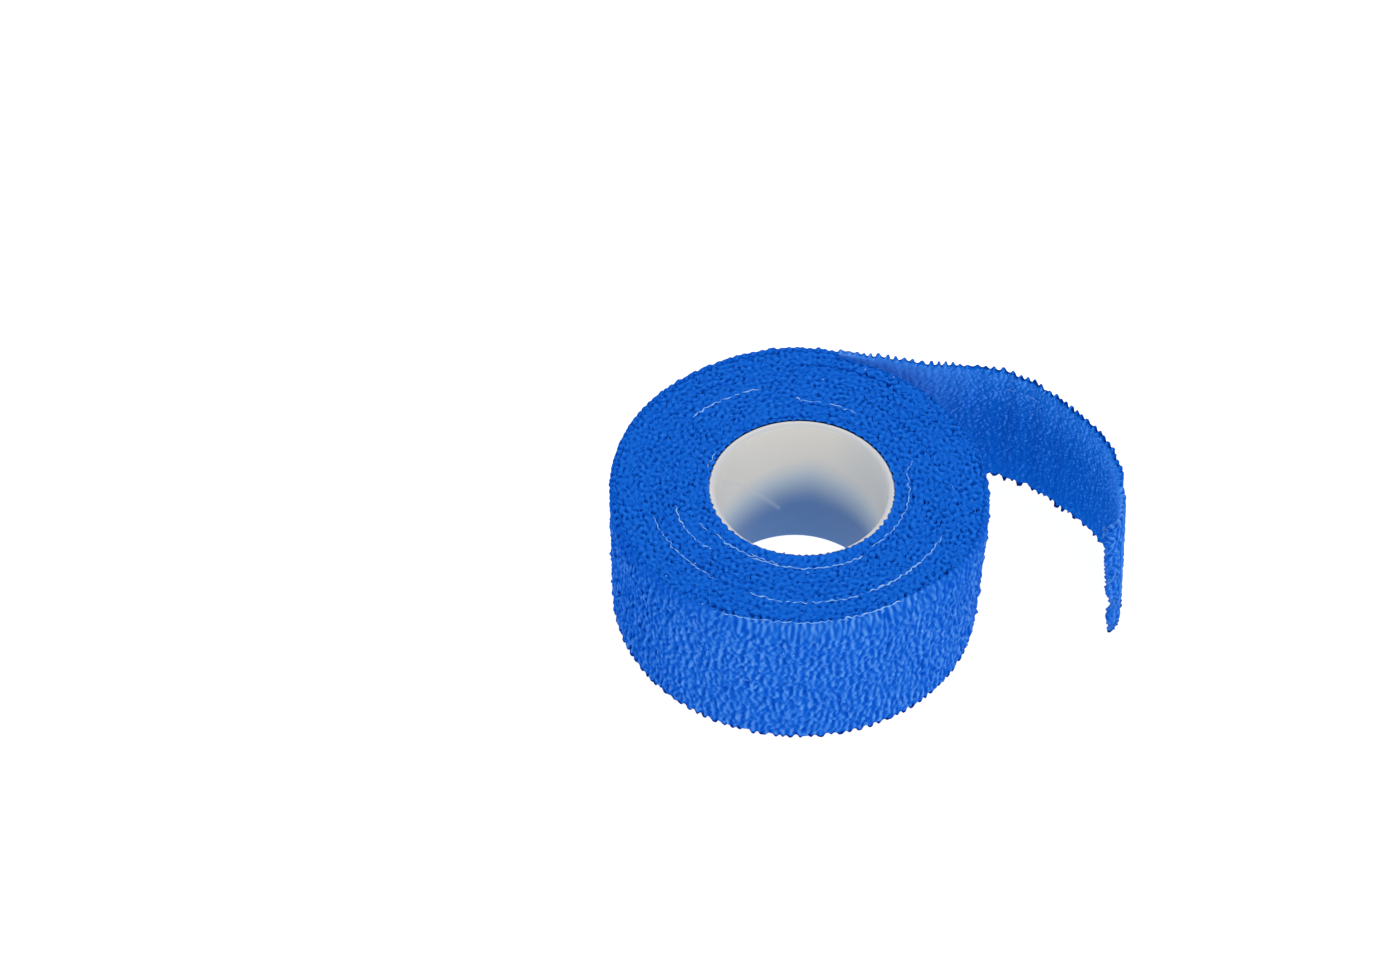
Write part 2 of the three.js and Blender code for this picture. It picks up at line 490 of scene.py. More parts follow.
# The last turn's side sways slowly and has lumps, which fade out towards its edges
SIDE_SWAY = {"depth": 0.12, "pitch": 16}
LUMPS = {"period": 2.4, "spread": 0.8, "tall": 1.6}
LUMP_DEPTH = 0.13
LUMP_FADE = 0.06
LEAVES_OVER = 0.35  # angle over which its upper edge levels out before it leaves the roll

# Its teeth and upper bumps, and how its corners are rounded
LAST_TEETH = {"lower": 0.7, "upper": 0.16, "foot": 0.04, "flare": 0.1, "sharpness": 0.8}
LOW_BUMPS = {"height": 0.09, "pitch": 2.3, "spread": 0.6}
ROUNDED = {"upper": (0.4, 0.035), "lower": (0.2, 0.02)}  # depth, and share of the width
SHALLOW = {"less": 0.4, "from": 0.85, "whole": 0.95}  # ribs near the upper edge
LAST_SEAT = 0.06

# What darkens its side or makes it paler, and calms its crepe near the upper edge. The darkening
# towards its left side is painted shade.
SIDE_SHADE = {"tips": 1.1, "left": 0.16, "left_from": 0.4, "drawn": 0.1, "drawn_from": 0.93}
CALM = {"from": 0.8, "whole": 0.97, "middle": 0.4, "swing": 0.7}

# Its cut edges: share of the thickness and drop of each row, and their roughness and relief. Rows
# that lie further below the edge, and the faces that go in under it, are painted darker, as painted
# shade.
CUT_ROWS = [(0.75, -0.05), (0.45, 0), (0.15, 0.05)]
CUT = {"rough": 0.07, "pitch": 0.9, "spread": 0.5, "lowest": 0.01, "inner_drop": 0.15}
CUT_SHADE = {"middle": 0.5, "swing": 0.12, "rough": 3, "inner": 0.3, "hidden": 0.1}
LAST_SKIRT = {"upper": WIDTH - 2.6, "lower": 1.8}


def cut_edge(edge, outside, inner, hidden, height, angle, swing):
    """Rows of points and relief over one of the last turn's edges, from its side to the hidden
    inner face"""
    count = len(angle)
    sign = -1 if edge == "upper" else 1
    rows = []
    relief = []
    for share, drop in CUT_ROWS:
        rough = CUT["rough"] * line_noise(count, COLUMN_STEP, CUT)
        level = np.clip(height + sign * (drop + rough), CUT["lowest"], None)
        rows.append(on_roll(inner + share * (outside - inner), angle, level))
        # Painted shade: the further below the edge a row lies, the darker
        shade = CUT_SHADE["middle"] + CUT_SHADE["swing"] * swing
        relief.append(shade - drop - CUT_SHADE["rough"] * rough)
    rows.append(on_roll(inner, angle, height + sign * CUT["inner_drop"]))
    relief.append(np.full(count, CUT_SHADE["inner"]))
    skirt = np.full(count, LAST_SKIRT[edge])
    rows.append(on_roll(hidden - drawn_at(skirt, angle), angle, skirt))
    relief.append(np.full(count, CUT_SHADE["hidden"]))
    return in_order(edge, rows, relief)


def last_turn(side_cloth, end_cloth, turned, relief, edges, borders):
    count = len(turned)
    flat_angle = world_angle(turned)
    angle = flat_angle[:, None]
    level = LEVELS
    radius = edge_radius(turned)[:, None]
    sway = SIDE_SWAY["depth"] * line_noise(count, COLUMN_STEP, SIDE_SWAY)
    lumps = LUMP_DEPTH * band_noise(relief.shape, STEPS, **LUMPS)
    lumps = lumps * smoothstep(level, 0, LUMP_FADE) * smoothstep(1 - level, 0, LUMP_FADE)
    uneven = sway[:, None] * np.sin(math.pi * level) + lumps
    leave = smoothstep(turned, END_TURN - LEAVES_OVER, END_TURN)[:, None]
    bumps = line_noise(count, COLUMN_STEP, LOW_BUMPS)[:, None]
    upper_tip = tip_share(edges["upper"])[:, None]
    lower_tip = tip_share(edges["lower"], LAST_TEETH["sharpness"])[:, None]
    notched = LAST_TEETH["upper"] * (1 - upper_tip) - LOW_BUMPS["height"] * bumps
    height = (
        WIDTH * level
        + edge_fade(level) * (LAST_TEETH["lower"] * (1 - lower_tip) + LAST_TEETH["foot"])
        - edge_fade(1 - level) * notched
        + sag_at(radius, angle) * smoothstep(level, 0.5, 1) * (1 - leave)
    )
    shallow = SHALLOW["less"] * smoothstep(level, SHALLOW["from"], SHALLOW["whole"])
    outside = radius + uneven - RIB_DEPTH * (1 - relief) * (1 - shallow)
    outside = outside + edge_fade(level) * LAST_TEETH["flare"] * lower_tip
    for edge, (depth, band) in ROUNDED.items():
        outside = outside - edge_fade(away_from(edge), band) * depth
    outside = outside - drawn_at(height, angle)

    front = drawn_in(angle) / DRAWN["inward"]
    # Painted shade towards the left side of the roll
    left = smoothstep(-np.cos(angle), SIDE_SHADE["left_from"], 1)
    darker = SIDE_SHADE["tips"] * tip_shade(level) + SIDE_SHADE["left"] * left
    paler = SIDE_SHADE["drawn"] * front * smoothstep(level, SIDE_SHADE["drawn_from"], 1)
    calm = (1 - front) * smoothstep(level, CALM["from"], CALM["whole"])
    calmed = relief * (1 - calm) + (CALM["middle"] + CALM["swing"] * (relief - 0.5)) * calm

    columns = [on_roll(outside, angle, height)]
    reliefs = [calmed - darker + paler]
    for edge, row in (("upper", ROWS), ("lower", 0)):
        inner_turned, inner_outer = borders[edge]
        hidden = np.interp(turned - TAU, inner_turned, inner_outer) + LAST_SEAT
        inner = hidden - drawn_in(flat_angle) if edge == "upper" else hidden
        rows, shade = cut_edge(
            edge, outside[:, row], inner, hidden, height[:, row], flat_angle, edges[edge]
        )
        columns.append(rows)
        reliefs.append(shade)
    points = np.concatenate(columns, axis=1)
    around = points.shape[1]
    faces = [face[::-1] for face in loop_faces(count, around)]
    kinds = np.tile(np.arange(around) >= ROWS, count - 1).tolist() + [True, True]
    shade = {"relief": np.concatenate(reliefs, axis=1)}
    cloths = [side_cloth, end_cloth]
    make_piece("last_turn", points, faces, cloths, shade, "wound_strip", kinds)


# The loose end. Its crepe relaxes as it leaves the roll, where its teeth begin to stand out: their
# height at the roll, and how much more it is once the crepe is relaxed
LOOSE_THICKNESS = 0.7
RELAXES_OVER = 9
LOOSE_TEETH = {"lower": (0.66, 0.6), "upper_out": (0.05, 0.33), "upper_in": (0.2, 0.3)}
LOOSE_FOOT = 0.04
LOOSE_SHARPNESS = 1.6
LOOSE_ROUND = {"from": 0.97, "over": 0.03, "least": 0.12}  # how its edges thin
WANDER = {"depth": 0.09, "pitch": 5}  # unevenness along it
SWING = {"all": 0.09, "curl": 0.1, "curl_at": (42, 54), "edge": 0.22}  # of its crepe
LOWER_WAVE = {"depth": 0.12, "pitch": 1.7, "spread": 0.5}

# Where the cut end is pulled in (or stands out, below 0): height, half height of the place, depth
END_NICKS = [(7.2, 1.5, 0.9), (4.2, 1.0, -0.35), (2.0, 0.38, 0.8), (13, 1.2, 0.3), (19, 1.6, 0.35)]
END_ROUGH = {"all": 0.1, "swing": 0.24, "pitch": 1.3, "spread": 0.5, "reach": 3}

# How pale its inner face is painted: painted light near the roll, less of it towards the lower edge,
# and more towards its upper edge and at its curled end, with places along it or shares of its width
INNER = {"all": 0.3, "near_roll": 0.42, "at_lower_edge": 0.4, "upper": 0.22, "far": 0.2, "end": 0.2}
PAINTED_LIGHT_RANGES = {"near_roll": (6, 26), "upper": (0.45, 1), "far": (38, 58), "end": (52, 61)}
CURLED = (46, 58)
LOOSE_TIPS = {"lower": (0.9, 0.046), "upper": (0.5, 0.02)}  # darkness, and share of the width
PALE_FLECKS = {"period": 0.8, "spread": 0.4, "tall": 0.8}
PALE_FROM = (0.3, 1.8)
FLECK_SHARE = {"at_lower_edge": 0.3, "more": 0.6, "less_curled": 0.6}
CRINKLE_SHADE = {"curled": 0.8, "before": 0.32}


def inner_shade(along, level):
    """How pale the inner face of the loose end is painted: painted light near the roll, less of it
    towards its lower edge, and more towards its upper edge and at its curled end"""
    near_roll = 1 - smoothstep(along, *PAINTED_LIGHT_RANGES["near_roll"])
    upward = INNER["at_lower_edge"] + (1 - INNER["at_lower_edge"]) * level
    upper = smoothstep(level, *PAINTED_LIGHT_RANGES["upper"])
    # Painted light on the inner face, where the roll's shade falls on it
    painted_light = INNER["near_roll"] * near_roll * upward + INNER["upper"] * upper
    far = smoothstep(along, *PAINTED_LIGHT_RANGES["far"])
    end = smoothstep(along, *PAINTED_LIGHT_RANGES["end"])
    return INNER["all"] + painted_light + INNER["far"] * far + INNER["end"] * end


def ripple_at(along):
    return RIPPLE["height"] * np.sin(TAU * along / RIPPLE["length"])


def loose_points(along, level, relaxed, relief, edges):
    """Points of the loose end's sheet, over its outer face and back over its inner one"""
    count = len(along)

    def grown(name):
        start, more = LOOSE_TEETH[name]
        return start + more * relaxed

    upper_tip = tip_share(edges["upper"][:, None], LOOSE_SHARPNESS)
    lower_tip = tip_share(edges["lower"][:, None] * (1 - 2 * relaxed), LOOSE_SHARPNESS)
    raised = grown("lower") * (1 - lower_tip) + LOOSE_FOOT
    stands_out = grown("upper_out") * upper_tip - grown("upper_in") * (1 - upper_tip)
    height = WIDTH * level + edge_fade(level) * raised + edge_fade(1 - level) * stands_out
    rough = line_noise(ROWS + 1, WIDTH / ROWS, END_ROUGH)
    ragged = END_ROUGH["all"] + END_ROUGH["swing"] * rough
    for middle, half, depth in END_NICKS:
        ragged += depth * np.exp(-(((WIDTH * level[0] - middle) / half) ** 2))
    pulled = along - smoothstep(along, LOOSE_LENGTH - END_ROUGH["reach"], LOOSE_LENGTH) * ragged
    x, y, out_x, out_y = loose_middle(pulled, level)

    wander = WANDER["depth"] * relaxed * line_noise(count, COLUMN_STEP, WANDER)[:, None]
    ripple = ripple_at(along) * relaxed + wander
    toward_edge = np.clip((np.abs(2 * level - 1) - LOOSE_ROUND["from"]) / LOOSE_ROUND["over"], 0, 1)
    half = LOOSE_THICKNESS / 2 * np.sqrt(np.clip(1 - toward_edge**2, LOOSE_ROUND["least"], 1))
    swing = SWING["all"] + SWING["curl"] * smoothstep(along, *SWING["curl_at"])
    swing = (swing + SWING["edge"] * edge_fade(level)) * (2 * relief - 1)
    wave = line_noise(count, COLUMN_STEP, LOWER_WAVE)[:, None]
    swing = swing + LOWER_WAVE["depth"] * edge_fade(level) * wave
    taut = STRIP_THICKNESS / 2
    outer = (1 - relaxed) * (taut - RIB_DEPTH * (1 - relief)) + relaxed * (half + swing) + ripple
    inner = (1 - relaxed) * -taut + relaxed * (-half + swing) + ripple
    faces = []
    for off in (outer, inner):
        faces.append(np.stack([x + off * out_x, y + off * out_y, height], axis=-1))
    return np.concatenate([faces[0], faces[1][:, ::-1]], axis=1)


def loose_relief(along, level, relaxed, relief):
    """Relief of the loose end's outer and inner face, in the order of its points"""
    curled = smoothstep(along, *CURLED)

    def dark_tips(edge):
        darkness, band = LOOSE_TIPS[edge]
        return darkness * tip_shade(away_from(edge), band)

    darker = (dark_tips("lower") + dark_tips("upper") * (1 - curled)) * relaxed
    flecks = smoothstep(band_noise(relief.shape, STEPS, **PALE_FLECKS), *PALE_FROM)
    flecks = flecks * (FLECK_SHARE["at_lower_edge"] + FLECK_SHARE["more"] * level)
    flecks = flecks * (1 - FLECK_SHARE["less_curled"] * curled)
    crinkled = (CRINKLE_SHADE["curled"] * curled - CRINKLE_SHADE["before"]) * (relief - 0.5)
    inner_relief = inner_shade(along, level) + crinkled + flecks - darker
    return np.concatenate([relief - darker, inner_relief[:, ::-1]], axis=1)


def loose_cloth(outer_cloth, inner_cloth, relief, edges):
    count = relief.shape[0]
    along = np.linspace(0, LOOSE_LENGTH, count)[:, None]
    relaxed = smoothstep(along, 0, RELAXES_OVER)
    points = loose_points(along, LEVELS, relaxed, relief, edges)
    shade = {"relief": loose_relief(along, LEVELS, relaxed, relief)}
    around = points.shape[1]
    faces = [face[::-1] for face in loop_faces(count, around, capped=False)]
    last = (count - 1) * around
    for row in range(ROWS):
        near = row
        far = around - 1 - row
        faces.append([near, near + 1, far - 1, far])
        faces.append([last + far, last + far - 1, last + near + 1, last + near])
    kinds = np.tile(np.arange(around) > ROWS, count - 1).tolist() + [False] * (2 * ROWS)
    cloths = [outer_cloth, inner_cloth]
    piece = make_piece("loose_cloth", points, faces, cloths, shade, "loose_end", kinds)


# A crease in the tube's inner wall, as angle in degrees and height
CREASE = [(156, 19.9), (136, 15.1), (125, 12.3), (105, 6.7)]
CREASE_WIDTH = 0.26
CREASE_DEPTH = 0.07

# Painted shade on the tube's inner wall, tinted with painted light that the blue strip throws back:
# an arch at its back, which fades out over a range of height, and a little more on the right, over a
# range of x
ARCH = {"fades": (7, 19.4), "spread": 0.3, "middle": 1.6, "round": 2, "sides": 0.75}
RIGHT_BLUE = {"share": 0.11, "over": (3, 11)}

# The tube's lips, how far below their top and how much less outside they have the rim's colour, how
# finely the tube is built, and how far it is out of round
LIP = {"radius": 0.42, "steps": 6, "whole_from": 0.1, "less_outside": 0.7}
SLEEVE = {"segments": 300, "rows": 84, "outer_rows": 12, "crease_within": 0.01}
OUT_OF_ROUND = [(0.05, 2, 0.8), (0.03, 5, 0)]  # height, waves round the tube and their start


def crease_at(angle, height):
    """1 along the crease and 0 away from it, at places on the inner wall"""
    across = CORE_INSIDE * angle
    nearest = np.full(np.broadcast(angle, height).shape, np.inf)
    for (first, low), (second, high) in zip(CREASE, CREASE[1:]):
        start = np.array([CORE_INSIDE * math.radians(first), low])
        run = np.array([CORE_INSIDE * math.radians(second), high]) - start
        share = ((across - start[0]) * run[0] + (height - start[1]) * run[1]) / (run @ run)
        share = np.clip(share, 0, 1)
        away = np.hypot(across - start[0] - share * run[0], height - start[1] - share * run[1])
        nearest = np.minimum(nearest, away)
    return np.exp(-((nearest / CREASE_WIDTH) ** 2))


def painted_blue_shade(angle, height):
    """How much painted shade, blue with painted light from the strip, the tube's wall has"""
    x = CORE_RADIUS * np.cos(angle)
    arch = height + ARCH["spread"] * np.hypot(x - ARCH["middle"], ARCH["round"])
    back = ARCH["sides"] + (1 - ARCH["sides"]) * np.sin(angle)
    right = RIGHT_BLUE["share"] * smoothstep(x, *RIGHT_BLUE["over"])
    return (1 - smoothstep(arch, *ARCH["fades"])) * back + right


def sleeve_section():
    """Radius and height of the tube's section, from its upper outer lip inwards and round"""
    lip = LIP["radius"]
    lips = []
    for centre_radius, centre_height, start in (
        (CORE_RADIUS - lip, CORE_LENGTH - lip, 0),
        (CORE_INSIDE + lip, CORE_LENGTH - lip, 90),
        (CORE_INSIDE + lip, lip, 180),
        (CORE_RADIUS - lip, lip, 270),
    ):
        for step in range(LIP["steps"] + 1):
            turn = math.radians(start + 90 / LIP["steps"] * step)
            lips.append((centre_radius + lip * math.cos(turn), centre_height + lip * math.sin(turn)))
    heights = np.linspace(CORE_LENGTH - lip, lip, SLEEVE["rows"])[1:-1]
    inside = [(CORE_INSIDE, height) for height in heights]
    outside = [(CORE_RADIUS, height) for height in heights[::-SLEEVE["outer_rows"]]]
    half = len(lips) // 2
    return np.array(lips[:half] + inside + lips[half:] + outside)


def core_sleeve(material):
    lip = LIP["radius"]
    segments = SLEEVE["segments"]
    section = sleeve_section()
    angle = np.linspace(0, TAU, segments, endpoint=False)[:, None]
    radius = section[:, 0][None, :]
    height = section[:, 1][None, :]
    wobble = 0
    for swing, waves, start in OUT_OF_ROUND:
        wobble = wobble + swing * np.sin(waves * angle + start)
    crease = crease_at(angle, height) * (radius < CORE_INSIDE + SLEEVE["crease_within"])
    bent = radius + wobble * (radius < CORE_RADIUS - SEAT_GAP) - CREASE_DEPTH * crease
    points = np.stack([bent * np.cos(angle), bent * np.sin(angle), height + 0 * angle], axis=-1)
    around = points.shape[1]
    faces = []
    for column in range(segments):
        base = column * around
        beyond = (column + 1) % segments * around
        for index in range(around):
            above = (index + 1) % around
            faces.append([base + index, beyond + index, beyond + above, base + above])
    outermost = smoothstep(radius, CORE_INSIDE + lip, CORE_RADIUS - lip)
    rim = smoothstep(height, CORE_LENGTH - lip, CORE_LENGTH - LIP["whole_from"])
    rim = rim * (1 - LIP["less_outside"] * outermost) + 0 * angle
    shade = {"crease": crease, "rim": rim, "blue": painted_blue_shade(angle, height)}
    make_piece("core_sleeve", points, faces, [material], shade, "core_tube")


# Threads that have come loose on the roll's upper end: radius, and angle in degrees, where each
# begins and ends, its thickness, and how far it stands out of the cloth
THREADS = [
    ((21.2, 21.0), (142, 127), 0.085, 0.03),
    ((21.0, 20.7), (127, 109), 0.07, 0.0),
    ((18.0, 17.5), (95, 92), 0.09, 0.05),
    ((17.5, 17.3), (93, 64), 0.06, 0.0),
    ((22.6, 21.9), (-162, -124), 0.06, 0.0),
    ((21.8, 22.2), (-108, -98), 0.11, 0.06),
    ((22.2, 22.1), (-98, -84), 0.07, 0.0),
    ((22.1, 22.2), (-84, -64), 0.08, 0.01),
    ((22.2, 22.1), (-62, -36), 0.115, 0.06),
    ((22.1, 22.3), (-36, -20), 0.08, 0.03),
    ((19.0, 19.0), (-166, -152), 0.08, 0.03),
    ((19.0, 18.1), (-152, -134), 0.065, 0.0),
    ((15.6, 15.3), (-143, -115), 0.08, 0.02),
    ((15.4, 15.8), (-116, -52), 0.08, 0.02),
    ((15.0, 15.1), (-118, -101), 0.06, 0.02),
    ((16.6, 16.4), (-153, -146), 0.06, 0.02),
    ((17.2, 15.9), (22, 16), 0.06, 0.02),
    ((15.9, 15.7), (16, -12), 0.07, 0.0),
    ((15.7, 15.0), (-12, -45), 0.08, 0.03),
    ((14.3, 14.5), (153, 168), 0.06, 0.04),
    ((22.3, 22.8), (5, 1), 0.06, 0.02),
]
THREAD_STEP = 0.25
LEAST_POINTS = 8
THREAD_SIDES = 5
THREAD_ENDS = (0.35, 0.25)  # share of the thickness at an end, and more for each point from there
SUNK = 0.06  # below the cloth's upper edge
THREAD_WANDER = {"depth": 0.09, "pitch": 1.8, "spread": 0.6}
THREAD_DIP = {"depth": 0.06, "pitch": 1.9, "spread": 0.7}
THREAD_SWELL = {"share": 0.4, "pitch": 1.4, "spread": 0.6, "limits": (0.3, 1.7)}

# Wavy threads along the last turn's upper edge, where it is drawn in: first and final angle, and
# thickness and stand as above
EDGE_THREADS = [(-114, -78, 0.05, 0.03), (-76, -54, 0.075, 0.1)]
EDGE_THREAD_INSIDE = 0.35
POINTS_PER_DEGREE = 1.9

# A faint thread on the loose end's inner face, as distance from the roll and share of its width
FAINT = {"along": (25.5, 5.6), "level": (0.85, 0.02), "points": 22, "thick": 0.04}
FAINT_WAVE = {"share": 0.003, "pitch": 1.6, "spread": 0.6}

# Bright knots on the upper end, as radius and angle in degrees
KNOTS = [
    (26.5, -136), (27.1, -120), (22.1, -83.6), (19.0, -153), (18.1, -135.5), (22.0, 84),
    (25.8, 70.7), (16.5, -84.8), (21.7, -133.7), (15.8, -2.8), (17.24, 21.7), (18.0, 94.5),
    (26.4, 61),
]

# Bright specks on the side, as angle in degrees and height
SPECKS = [
    (-93, 19.9), (-117, 16.8), (-113, 16.9), (-90, 19.6), (-70, 9.5), (-128, 21.5), (-48, 18.2),
]

# Bright specks on the loose end's inner face, as distance from the roll and share of its width
LOOSE_SPECKS = [(39.5, 0.82), (30.2, 0.72), (32.1, 0.73), (26.5, 0.95)]

# Half length and radius of a knot, a speck on the side and a speck on the loose end
KNOT_SIZE = (0.12, 0.15)
SPECK_SIZE = (0.2, 0.12)
LOOSE_SPECK_SIZE = (0.1, 0.15)
SPECK_POINTS = 5
SPECK_SIDES = 7
PROUD = {"knot": 0.04, "inner_face": 0.06, "speck_inside": 0.75, "speck_slant": 0.04}


def tube_along(path, radius, sides=THREAD_SIDES):
    """Points and faces of a closed thin tube that follows a path"""
    ahead = np.gradient(path, axis=0)
    ahead /= np.linalg.norm(ahead, axis=1)[:, None]
    aside = np.cross(ahead, [0, 0, 1])
    aside /= np.maximum(np.linalg.norm(aside, axis=1)[:, None], 1e-6)
    above = np.cross(aside, ahead)
    turn = np.linspace(0, TAU, sides, endpoint=False)[None, :, None]
    ring = aside[:, None] * np.cos(turn) + above[:, None] * np.sin(turn)
    ends = np.minimum(np.arange(len(path)), np.arange(len(path))[::-1])
    taper = np.clip(THREAD_ENDS[0] + THREAD_ENDS[1] * ends, 0, 1)
    thick = (radius * taper)[:, None, None]
    points = (path[:, None] + thick * ring).reshape(-1, 3)
    return points, loop_faces(len(path), sides)


def joined(parts):
    """One set of points and faces from several"""
    points = []
    faces = []
    start = 0
    for part_points, part_faces in parts:
        points.append(part_points)
        faces += [[start + index for index in face] for face in part_faces]
        start += len(part_points)
    return np.concatenate(points), faces


def uneven_thread(radius, angle, proud, thick):
    """A thread on the upper end that dips in and out of the cloth and varies in thickness"""
    count = len(radius)
    path_radius = radius + THREAD_WANDER["depth"] * line_noise(count, THREAD_STEP, THREAD_WANDER)
    height = WIDTH - SUNK + proud + sag_at(path_radius, angle)
    height += THREAD_DIP["depth"] * line_noise(count, THREAD_STEP, THREAD_DIP)
    swell = THREAD_SWELL["share"] * line_noise(count, THREAD_STEP, THREAD_SWELL)
    thickness = thick * np.clip(1 + swell, *THREAD_SWELL["limits"])
    return tube_along(on_roll(path_radius, angle, height), thickness)


def spread_out(half_length):
    """Places along a knot or speck, from its middle"""
    return np.linspace(-half_length, half_length, SPECK_POINTS)


def on_inner_face(along, level):
    """Places on the inner face of the loose end"""
    x, y, out_x, out_y = loose_middle(along, level)
    off = ripple_at(along) - LOOSE_THICKNESS / 2 - PROUD["inner_face"]
    return np.stack([x + off * out_x, y + off * out_y, WIDTH * level], axis=-1)


def upper_threads():
    """The threads on the upper end"""
    parts = []
    for radii, degrees, thick, proud in THREADS:
        first, final = np.radians(degrees)
        length = max(abs(final - first) * radii[0], 1)
        count = max(LEAST_POINTS, round(length / THREAD_STEP))
        angle = np.linspace(first, final, count)
        parts.append(uneven_thread(np.linspace(*radii, count), angle, proud, thick))
    for first, final, thick, proud in EDGE_THREADS:
        count = round(abs(final - first) * POINTS_PER_DEGREE)
        angle = np.radians(np.linspace(first, final, count))
        edge = edge_radius(LAST_TURN + (ROOT_ANGLE - angle) % TAU)
        edge = edge - EDGE_THREAD_INSIDE - drawn_in(angle)
        parts.append(uneven_thread(edge, angle, proud, thick))
    return parts


def faint_thread():
    share = np.linspace(0, 1, FAINT["points"])
    wave = line_noise(len(share), THREAD_STEP, FAINT_WAVE)
    start, length = FAINT["along"]
    low, rise = FAINT["level"]
    level = low + rise * share + FAINT_WAVE["share"] * wave
    return tube_along(on_inner_face(start + length * share, level), FAINT["thick"])


def stray_threads(material):
    parts = upper_threads()
    half_length, thick = KNOT_SIZE
    for radius, degrees in KNOTS:
        angle = math.radians(degrees) + spread_out(half_length) / radius
        flat = np.full(SPECK_POINTS, WIDTH + PROUD["knot"])
        centres = on_roll(np.full(SPECK_POINTS, radius), angle, flat)
        parts.append(tube_along(centres, thick, SPECK_SIDES))
    parts.append(faint_thread())
    half_length, thick = LOOSE_SPECK_SIZE
    for along, level in LOOSE_SPECKS:
        centres = on_inner_face(along + spread_out(half_length), np.full(SPECK_POINTS, level))
        parts.append(tube_along(centres, thick, SPECK_SIDES))
    half_length, thick = SPECK_SIZE
    radius = np.full(SPECK_POINTS, ROLL_RADIUS - PROUD["speck_inside"])
    for degrees, height in SPECKS:
        angle = np.full(SPECK_POINTS, math.radians(degrees))
        centres = on_roll(radius, angle, height + spread_out(half_length))
        centres[:, 0] += np.linspace(0, PROUD["speck_slant"], SPECK_POINTS)
        parts.append(tube_along(centres, thick, SPECK_SIDES))
    points, faces = joined(parts)
    make_piece("stray_threads", points, faces, [material])


# Colours of the crepe by its height, from the valleys to the crests. The valleys are painted darker,
# as painted shade, and the crests paler, for their pale fibres and as painted sheen.
SIDE_STOPS = [
    (0, (0.0004, 0.022, 0.19)),
    (0.08, (0.001, 0.065, 0.47)),
    (0.5, (0.009, 0.118, 0.59)),
    (0.88, (0.056, 0.22, 0.7)),
    (1, (0.1, 0.28, 0.74)),
]
END_STOPS = [
    (0.05, (0.0006, 0.052, 0.37)),
    (0.5, (0.004, 0.108, 0.59)),
    (0.95, (0.018, 0.168, 0.72)),
]
# The palest of these colours carry the painted light of the loose end's inner face
INNER_STOPS = [
    (0, (0.0005, 0.026, 0.21)),
    (0.08, (0.001, 0.095, 0.51)),
    (0.45, (0.006, 0.155, 0.66)),
    (1, (0.07, 0.32, 0.96)),
]

# Fibres that break the crepe's colour up, longer upright than across, and larger patches
FIBRES = {"Scale": 6500, "Detail": 3, "Roughness": 0.6}
FIBRE_SQUASH = (1, 1, 0.45)
FIBRE_BUMP = {"Strength": 0.5, "Distance": 0.00008}
PATCHES = {"Scale": 240, "Detail": 2}
PATCH_SHARE = 0.16

# Colours of the tube's wall by its painted blue shade, of its rim and of its crease
WALL_STOPS = [
    (0.03, (0.77, 0.745, 0.7)),
    (0.38, (0.48, 0.57, 0.66)),
    (1, (0.08, 0.195, 0.45)),
]
CLOUD = {"Scale": 110, "Detail": 2}
CLOUD_SHARE = 0.06
RIM_COLOUR = (0.54, 0.55, 0.57, 1)
CREASE_COLOUR = (0.62, 0.66, 0.7, 1)
CREASE_SHARE = 0.3

# Colours of the threads, from rubbed with blue to clean
THREAD_COLOURS = [(0.08, 0.32, 0.82, 1), (0.36, 0.62, 0.95, 1)]
RUBBED = {"Scale": 900, "Detail": 2}


def new_material(name, roughness, specular):
    """A material, its node tree and its shader"""
    material = bpy.data.materials.new(name)
    material.use_nodes = True
    tree = material.node_tree
    shader = tree.nodes["Principled BSDF"]
    shader.inputs["Roughness"].default_value = roughness
    shader.inputs["Specular IOR Level"].default_value = specular
    return material, tree, shader


def node_of(tree, kind, **values):
    node = tree.nodes.new(kind)
    for key, value in values.items():
        if key in node.inputs:
            node.inputs[key].default_value = value
        else:
            setattr(node, key, value)
    return node


def feed(source, socket):
    """Feeds an input from another node's output, or sets it to a plain value"""
    if isinstance(source, bpy.types.NodeSocket):
        socket.id_data.links.new(source, socket)
    else:
        socket.default_value = source


def noise_of(tree, squash=(1, 1, 1), **values):
    """Noise over the object, drawn out along the axes with a small scale"""
    place = node_of(tree, "ShaderNodeTexCoord")
    mapping = node_of(tree, "ShaderNodeMapping", Scale=squash)
    noise = node_of(tree, "ShaderNodeTexNoise", **values)
    feed(place.outputs["Object"], mapping.inputs["Vector"])
    feed(mapping.outputs["Vector"], noise.inputs["Vector"])
    return noise.outputs["Fac"]


def attribute_of(tree, name):
    return node_of(tree, "ShaderNodeAttribute", attribute_name=name).outputs["Fac"]


def worked_out(tree, operation, *values, use_clamp=False):
    node = node_of(tree, "ShaderNodeMath", operation=operation, use_clamp=use_clamp)
    for value, socket in zip(values, node.inputs):
        feed(value, socket)
    return node.outputs[0]


def ramp_of(tree, share, stops):
    ramp = node_of(tree, "ShaderNodeValToRGB")
    elements = ramp.color_ramp.elements
    while len(elements) < len(stops):
        elements.new(0.5)
    for element, (position, colour) in zip(elements, stops):
        element.position = position
        element.color = (*colour, 1)
    feed(share, ramp.inputs["Fac"])
    return ramp.outputs["Color"]


def mixed_colour(tree, share, first, second):
    """A mix of two colours, where each is an output or a plain colour"""
    mix = node_of(tree, "ShaderNodeMix", data_type="RGBA")
    feed(share, mix.inputs[0])
    feed(first, mix.inputs[6])
    feed(second, mix.inputs[7])
    return mix.outputs[2]


